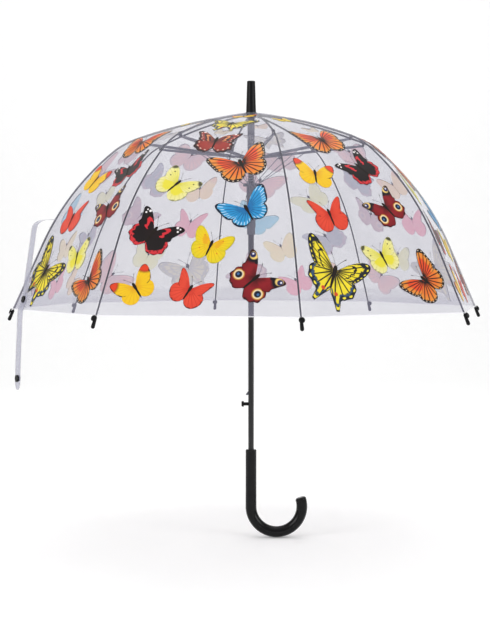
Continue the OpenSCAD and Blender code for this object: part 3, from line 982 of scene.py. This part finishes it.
@dataclass
class Prints:
    """The butterflies: inked outside the film, with a pale underprint inside it."""

    shape: DomeShape
    lift: float = 0.45 * MM
    under: float = -0.40 * MM
    margin: float = 3 * MM
    rays: int = 22
    rings: int = 7
    fore_above_hind: float = 0.12 * MM
    body_above_wings: float = 0.24 * MM
    drawn_span: float = 1.56  # wingtip to wingtip, in the units that the outlines are drawn in

    def wing(
        self, sheet: Drawing, mark: Print, outline: Outline, hind: bool, side: int, skin: int, lift: float
    ) -> None:
        """Draw one wing on a panel, as a fan of rings from its root to its margin.

        Args:
            sheet: The panel's drawing; a vertex holds across, down and lift.
            mark: The butterfly.
            outline: The wing's outline.
            hind: Whether it is a hindwing.
            side: 1 for the right wing and -1 for the left.
            skin: The material's number.
            lift: Distance outside the film.
        """
        first, last = outline.marks[0][0], outline.marks[-1][0]
        chart, plans = sheet.loops.layers.uv["wing"], sheet.loops.layers.uv["plan"]
        plan: dict[Vertex, tuple[float, float]] = {}
        grid: list[list[Vertex]] = []
        for ray in range(self.rays + 1):
            angle = first + (last - first) * ray / self.rays
            reach = outline.reach(angle)
            slant = math.radians(angle)
            line = []
            for ring in range(self.rings + 1):
                out = 0.01 + 0.99 * ring / self.rings
                x = side * (0.01 + out * reach * math.cos(slant))
                y = 0.04 + out * reach * math.sin(slant)
                line.append(sheet.verts.new(self.turned(mark, x, y, lift)))
                plan[line[-1]] = (abs(x), y)
            grid.append(line)
        for ray in range(self.rays):
            for ring in range(self.rings):
                corners = ((ray, ring), (ray, ring + 1), (ray + 1, ring + 1), (ray + 1, ring))
                if side < 0:
                    corners = corners[::-1]
                face = sheet.faces.new([grid[a][b] for a, b in corners])
                face.material_index = skin
                for loop, (a, b) in zip(face.loops, corners):
                    loop[chart].uv = (0.001 + 0.998 * a / self.rays + hind, 0.01 + 0.99 * b / self.rings)
                    loop[plans].uv = plan[loop.vert]

    def turned(self, mark: Print, x: float, y: float, lift: float) -> tuple[float, float, float]:
        """Where a point of a butterfly, in half wingspans with its head up, falls on its panel."""
        c, s = math.cos(math.radians(mark.turn)), math.sin(math.radians(mark.turn))
        scale = mark.span * MM / self.drawn_span
        across = mark.across * MM + scale * (x * c - y * s)
        down = mark.down * MM - scale * (x * s + y * c)
        down = max(self.shape.start, down)
        room = self.shape.half_width(down) - self.margin
        return max(-room, min(room, across)), down, lift

    def body(self, sheet: Drawing, mark: Print, skin: int, lift: float) -> None:
        """Draw a spindle-shaped body and two clubbed feelers."""
        profile = (
            (0.20, 0.0), (0.17, 0.040), (0.12, 0.052), (0.04, 0.056), (-0.04, 0.046), (-0.10, 0.032),
            (-0.22, 0.036), (-0.36, 0.026), (-0.46, 0.0)
        )
        strips = [[(-w, y), (w, y)] for y, w in profile]
        feelers = []
        for side in (-1, 1):
            path = [
                (side * (0.015 + 0.20 * t ** 1.2), 0.18 + 0.30 * t)
                for t in (0, 0.25, 0.5, 0.75, 0.92, 1.0)
            ]
            widths = (0.006, 0.005, 0.005, 0.006, 0.014, 0.004)
            feelers.append([[(x - w, y), (x + w, y)] for (x, y), w in zip(path, widths)][::-1])
        for strip in [strips, *feelers]:
            lines = [[sheet.verts.new(self.turned(mark, x, y, lift)) for x, y in pair] for pair in strip]
            for a, b in zip(lines, lines[1:]):
                face = sheet.faces.new((b[0], b[1], a[1], a[0]))
                face.material_index = skin

    def draw(self, design: Design, skins: dict[str, int], pale: bool) -> Drawing:
        """Draw one panel's butterflies flat, and cut them at the middle line and at the ribs' joint.

        Args:
            design: Which panel.
            skins: The number of each material.
            pale: Whether this is the underprint.

        Returns:
            The drawing.
        """
        sheet = bmesh.new()
        for name in ("wing", "plan"):
            sheet.loops.layers.uv.new(name)
        for mark in design.value:
            kind = mark.kind.value
            finish = kind.pale if pale else kind.ink
            base = self.under if pale else self.lift
            for outline, hind, step in ((kind.hind, True, 0.0), (kind.fore, False, self.fore_above_hind)):
                for side in (-1, 1):
                    self.wing(
                        sheet, mark, outline, hind, side, skins[finish.name], base + (-step if pale else step)
                    )
            if not pale:
                self.body(sheet, mark, skins[BODY_INK.name], base + self.body_above_wings)
        for point, normal in (((0, 0, 0), (1, 0, 0)), ((0, self.shape.joint, 0), (0, 1, 0))):
            parts = list(sheet.verts) + list(sheet.edges) + list(sheet.faces)
            bmesh.ops.bisect_plane(sheet, geom=parts, plane_co=point, plane_no=normal, dist=1e-7)
        return sheet

    def build(self) -> dict[tuple[int, Part], list[Piece]]:
        """Make the printed pieces of every sheet of film.

        Returns:
            The pieces on each sheet.
        """
        made: dict[tuple[int, Part], list[Piece]] = {
            (spoke, part): []
            for spoke in range(1, SPOKES + 1) for part in Part
        }
        for pale in (False, True):
            finishes: dict[str, Finish] = {}
            for kind in Butterfly:
                ink = kind.value.pale if pale else kind.value.ink
                finishes[ink.name] = ink
            if not pale:
                finishes[BODY_INK.name] = BODY_INK
            skins = {name: k for k, name in enumerate(finishes)}
            materials = [finish.material() for finish in finishes.values()]
            patches = {key: Patch.empty() for key in made}
            for panel in range(1, SPOKES + 1):
                sheet = self.draw(Design.A if panel % 2 else Design.B, skins, pale)
                self.share_out(sheet, panel, patches)
                sheet.free()
            for (spoke, part), patch in patches.items():
                name = f"{'underprint' if pale else 'print'}_{part.value}_{spoke}"
                piece = patch.build(name, ["wing", "plan"], materials)
                made[spoke, part].append(piece)
                log.info("%s: %d faces", name, len(patch.faces))
        return made

    def share_out(self, sheet: Drawing, panel: int, patches: dict[tuple[int, Part], Patch]) -> None:
        """Bend a panel's drawing onto the dome and give each face to the sheet of film that it lies on."""
        wing, plan = sheet.loops.layers.uv["wing"], sheet.loops.layers.uv["plan"]
        seen: dict[tuple[int, int, Part], int] = {}
        for face in sheet.faces:
            middle = face.calc_center_median()
            spoke = panel if middle.x < 0 else panel % SPOKES + 1
            part = Part.UPPER if middle.y < self.shape.joint else Part.LOWER
            patch = patches[spoke, part]
            corners = []
            for vert in face.verts:
                key = (vert.index, spoke, part)
                if key not in seen:
                    seen[key] = len(patch.points)
                    patch.points.append(self.shape.place(panel, vert.co.x, vert.co.y, vert.co.z))
                corners.append(seen[key])
            patch.faces.append(tuple(corners))
            patch.charts.append([(*loop[wing].uv, *loop[plan].uv) for loop in face.loops])
            patch.skins.append(face.material_index)


# ---------------------------------------------------------------- strap and spring


@dataclass
class TieStrap:
    """The tie strap: a welded strip of film that stands off one panel and hangs past the hem.

    Its path lies in the plane that halves the panel, as distances from the axis and heights.
    """

    panel: int = 5
    aside: float = -121 * MM
    width: float = 22 * MM
    thickness: float = 0.5 * MM
    path: tuple[tuple[float, float], ...] = (
        (321, 456.5), (333, 457), (345, 456), (355, 451.5), (360.4, 443), (364.5, 418), (372.5, 368),
        (380, 321.2), (387, 302.2), (389.5, 262), (391.5, 225), (393.4, 168.2)
    )

    def smooth(self) -> list[tuple[float, float]]:
        """The strap's middle line as many short steps through its marks."""
        marks = [(self.path[0][0] - 1, self.path[0][1]), *self.path, (self.path[-1][0], self.path[-1][1] - 1)]
        line = []
        for a, b, c, d in zip(marks, marks[1:], marks[2:], marks[3:]):
            for k in range(8):
                t = k / 8
                line.append(tuple(
                    0.5 * MM * (2 * q + (r - p) * t + (2 * p - 5 * q + 4 * r - s) * t * t
                                + (3 * q - p - 3 * r + s) * t ** 3)
                    for p, q, r, s in zip(a, b, c, d)
                ))
        return [*line, (self.path[-1][0] * MM, self.path[-1][1] * MM)]

    def build(self) -> None:
        line = self.smooth()
        turn = azimuth(self.panel + 0.5)
        patch = Patch.empty()
        run = [0.0]
        for (a, b), (c, d) in zip(line, line[1:]):
            run.append(run[-1] + math.hypot(c - a, d - b))
        steps = 6
        for face in (1, -1):
            for k, (r, z) in enumerate(line):
                (a, b), (c, d) = line[max(0, k - 1)], line[min(len(line) - 1, k + 1)]
                along = Vector((c - a, 0, d - b)).normalized()
                off = Vector((-along.z, 0, along.x)) * (-face * self.thickness / 2)
                for n in range(steps + 1):
                    share = 2 * n / steps - 1
                    near_end = min(1.0, min(run[k], run[-1] - run[k]) / (self.width / 2))
                    round_off = math.sqrt(1 - (1 - near_end) ** 2)
                    y = self.aside + share * self.width / 2 * max(0.35, round_off)
                    spot = Vector((r, y, z)) + off
                    x = spot.x * math.cos(turn) - spot.y * math.sin(turn)
                    y = spot.x * math.sin(turn) + spot.y * math.cos(turn)
                    patch.points.append(Vector((x, y, spot.z)))
        wide = steps + 1
        count = len(line) * wide
        for k in range(len(line) - 1):
            for n in range(steps):
                quad = (k * wide + n, k * wide + n + 1, (k + 1) * wide + n + 1, (k + 1) * wide + n)
                spots = [(min(v % wide, steps - v % wide) * self.width / steps, 0.02) for v in quad]
                patch.faces += [quad, tuple(v + count for v in reversed(quad))]
                patch.charts += [spots, spots[::-1]]
        last = len(line) - 1
        rim = [
            *range(wide),
            *(k * wide + steps for k in range(1, len(line))),
            *(last * wide + n for n in range(steps - 1, -1, -1)),
            *(k * wide for k in range(last - 1, 0, -1)),
        ]
        for a, b in zip(rim, [*rim[1:], rim[0]]):
            patch.faces.append((b, a, a + count, b + count))
            patch.charts.append([(0.0, 0.02)] * 4)
        patch.skins = [0] * len(patch.faces)
        strap = patch.build("tie_strap_film", ["film"], [STRAP_FILM.material()])
        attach(strap, f"rib_lower_{self.panel}")
        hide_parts("tie_strap")
        log.info("strap: %.0f mm long", run[-1] / MM)


@dataclass
class OpeningSpring:
    """The coil spring between the runner and the collar, riding on the runner."""

    radius: float = 6.0 * MM
    wire: float = 0.6 * MM
    bottom: float = 524.2 * MM
    top: float = 563.0 * MM
    turns: float = 8.0

    def build(self) -> None:
        """Make the coil, with its last turns flattened on each end."""
        low, high = self.bottom + self.wire, self.top - self.wire
        path = []
        for k in range(int(self.turns * 28) + 1):
            share = k / (self.turns * 28)
            turn = 2 * math.pi * self.turns * share
            rise = share * share * (3 - 2 * share) * 0.35 + share * 0.65
            x, y = self.radius * math.cos(turn), self.radius * math.sin(turn)
            path.append(Vector((x, y, low + (high - low) * rise)))
        spring = swept_tube(path, self.wire, 10).build("opening_spring", ["wire"], [SPRING_STEEL.material()])
        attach(spring, "runner")
        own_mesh(spring)
        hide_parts("main_spring")
        log.info("spring: %.1f mm high", (self.top - self.bottom) / MM)


# ---------------------------------------------------------------- hard parts


@dataclass
class HardParts:
    """The parts whose solids are right as they are, and the finish that each one has."""

    finishes: tuple[tuple[str, Finish], ...] = (
        ("shaft_tube", BLACK_LACQUER), ("crook_handle", BLACK_ABS), ("ferrule", CAP_ABS), ("open_button", CAP_ABS),
        ("crown_notch", GREY_NYLON), ("top_sleeve", GREY_NYLON), ("slide_collar", GREY_NYLON), ("runner", GREY_NYLON),
        ("runner_catch", ZINC_STEEL), ("strap_snaps", CAP_ABS), ("rib_upper", BLACK_WIRE), ("rib_lower", BLACK_WIRE),
        ("rib_tip", CAP_ABS), ("stretcher", ZINC_STEEL), ("link", SPRING_STEEL),
    )

    def build(self) -> None:
        """Give every solid that still shows its finish."""
        for name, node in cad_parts.items():
            for stem, finish in self.finishes:
                if name == stem or name.rstrip("0123456789") == stem + "_":
                    for slot in node.material_slots:
                        slot.link = "OBJECT"
                        slot.material = finish.material()
                    log.info("%s: %s", name, finish.name)


# ---------------------------------------------------------------- studio


@dataclass
class Studio:
    """A white sweep, large soft lights and the camera."""

    eye: tuple[float, float, float] = (-0.0107, -2.427, 0.3917)
    pitch: float = 2.14
    lens: float = 79.8
    floor: float = -0.1065

    def build(self) -> None:
        """Make the camera first, then the sweep and the lights."""
        data = bpy.data.cameras.new("camera")
        data.lens, data.sensor_width = self.lens, 36.0
        camera = bpy.data.objects.new("camera", data)
        camera.location = self.eye
        camera.rotation_euler = (math.radians(90 - self.pitch), 0, 0)
        bpy.context.scene.collection.objects.link(camera)
        bpy.context.scene.camera = camera
        self.sweep()
        self.lights()

    def sweep(self) -> None:
        """A floor that curves up into the wall behind."""
        patch = Patch.empty()
        bend = [(-9.0, 0.0), (3.0, 0.0)] + [
            (3.0 + 1.5 * math.sin(t), 1.5 - 1.5 * math.cos(t))
            for t in [math.radians(a) for a in range(6, 91, 6)]
        ] + [(4.5, 7.0)]
        for y, z in bend:
            for x in (-9.0, 0.0, 9.0):
                patch.points.append(Vector((x, y, self.floor + z)))
        for k in range(len(bend) - 1):
            for n in range(2):
                face = (3 * k + n, 3 * k + n + 1, 3 * k + n + 4, 3 * k + n + 3)
                patch.faces.append(face)
                patch.charts.append([(0.0, 0.0)] * 4)
        patch.skins = [0] * len(patch.faces)
        patch.build("studio_sweep", ["sweep"], [FLOOR_PAINT.material()])

    def lights(self) -> None:
        """One broad light above, one at each side, and an even white surround."""
        for name, spot, aim, size, power in (
            ("top_light", (0.2, -0.3, 2.6), (0, 0, 0.3), 2.6, 20.0),
            ("left_light", (-2.4, -2.0, 1.4), (0, 0, 0.3), 1.6, 34.0),
            ("right_light", (2.4, -1.6, 1.0), (0, 0, 0.3), 1.4, 24.0),
            ("wall_light", (0.0, 1.2, 3.4), (0, 4.0, 0.6), 3.0, 50.0),
        ):
            data = bpy.data.lights.new(name, "AREA")
            data.size, data.energy = size, power
            light = bpy.data.objects.new(name, data)
            light.location = spot
            light.rotation_euler = (Vector(aim) - Vector(spot)).to_track_quat("-Z", "Y").to_euler()
            bpy.context.scene.collection.objects.link(light)
        world = bpy.data.worlds.new("surround")
        world.use_nodes = True
        surround = world.node_tree.nodes["Background"]
        surround.inputs["Color"].default_value = (1.0, 1.0, 1.0, 1.0)
        surround.inputs["Strength"].default_value = 0.48
        scene = bpy.context.scene
        scene.world = world
        scene.view_settings.view_transform = "Standard"
        scene.cycles.transparent_max_bounces = 32


def main() -> None:
    """Build every piece in turn."""
    logging.basicConfig(level=logging.INFO, format="%(name)s: %(message)s")
    Studio().build()
    shape = DomeShape()
    prints = Prints(shape).build()
    dome = Dome(shape)
    for (spoke, part), pieces in prints.items():
        for piece in pieces:
            dome.fold(piece, spoke, part)
    dome.build(prints)
    TieStrap().build()
    OpeningSpring().build()
    HardParts().build()


if __name__ == "__main__":
    main()
